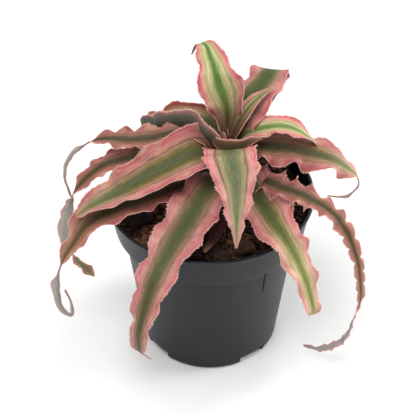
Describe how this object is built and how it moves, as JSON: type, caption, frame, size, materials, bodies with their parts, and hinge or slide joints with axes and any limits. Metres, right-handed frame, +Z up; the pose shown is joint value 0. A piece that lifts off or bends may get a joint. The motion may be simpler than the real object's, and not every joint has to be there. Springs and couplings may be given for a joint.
{
  "type": "potted bromeliad",
  "caption": "Low rosette of long wavy striped strap leaves arching over the rim of a round dark nursery pot with a collar, filled with bark mix.",
  "frame": {"origin": "middle of the pot's base, on the surface it stands on", "axes": "+Z up; +X to the right and -Y to the front of the plant's best side, the side with the leaf that points straight forward"},
  "size_m": [0.178, 0.1559, 0.1853],
  "materials": {
    "pot_plastic": "semi-matte thin polypropylene, charcoal grey",
    "potting_mix": "damp dark peat and bark mix",
    "bark_chip": "rough reddish brown bark",
    "stem_tissue": "firm brownish red plant tissue",
    "leaf_fresh": "satin leaf, green and cream stripes with pink margins",
    "leaf_grown": "satin leaf, olive and tan stripes with salmon margins",
    "leaf_old": "satin leaf, brown olive stripes with brownish salmon margins",
    "leaf_dry": "dry dark red leaf"
  },
  "bodies": {
    "root": {"pot": "pot_plastic", "soil": "potting_mix", "stem": "stem_tissue", "leaf_bud": "leaf_fresh", "leaf_clasping": "leaf_fresh", "leaf_young": "leaf_fresh", "leaf_top": "leaf_fresh", "leaf_right_arch": "leaf_fresh", "leaf_left_arch": "leaf_fresh", "leaf_front": "leaf_fresh", "leaf_back_right": "leaf_grown", "leaf_left": "leaf_grown", "leaf_right": "leaf_grown", "leaf_left_back": "leaf_old", "leaf_back_left": "leaf_old", "leaf_left_rear": "leaf_old", "leaf_front_right": "leaf_grown", "leaf_back_right_low": "leaf_old", "leaf_back": "leaf_old", "leaf_front_left": "leaf_grown", "leaf_left_low": "leaf_old", "leaf_right_low": "leaf_old", "leaf_withered": "leaf_dry", "bark_1": "bark_chip", "bark_2": "bark_chip", "bark_3": "bark_chip", "bark_4": "bark_chip", "bark_5": "bark_chip", "bark_6": "bark_chip", "bark_7": "bark_chip", "bark_8": "bark_chip", "bark_9": "bark_chip", "bark_10": "bark_chip"}
  },
  "joints": []
}
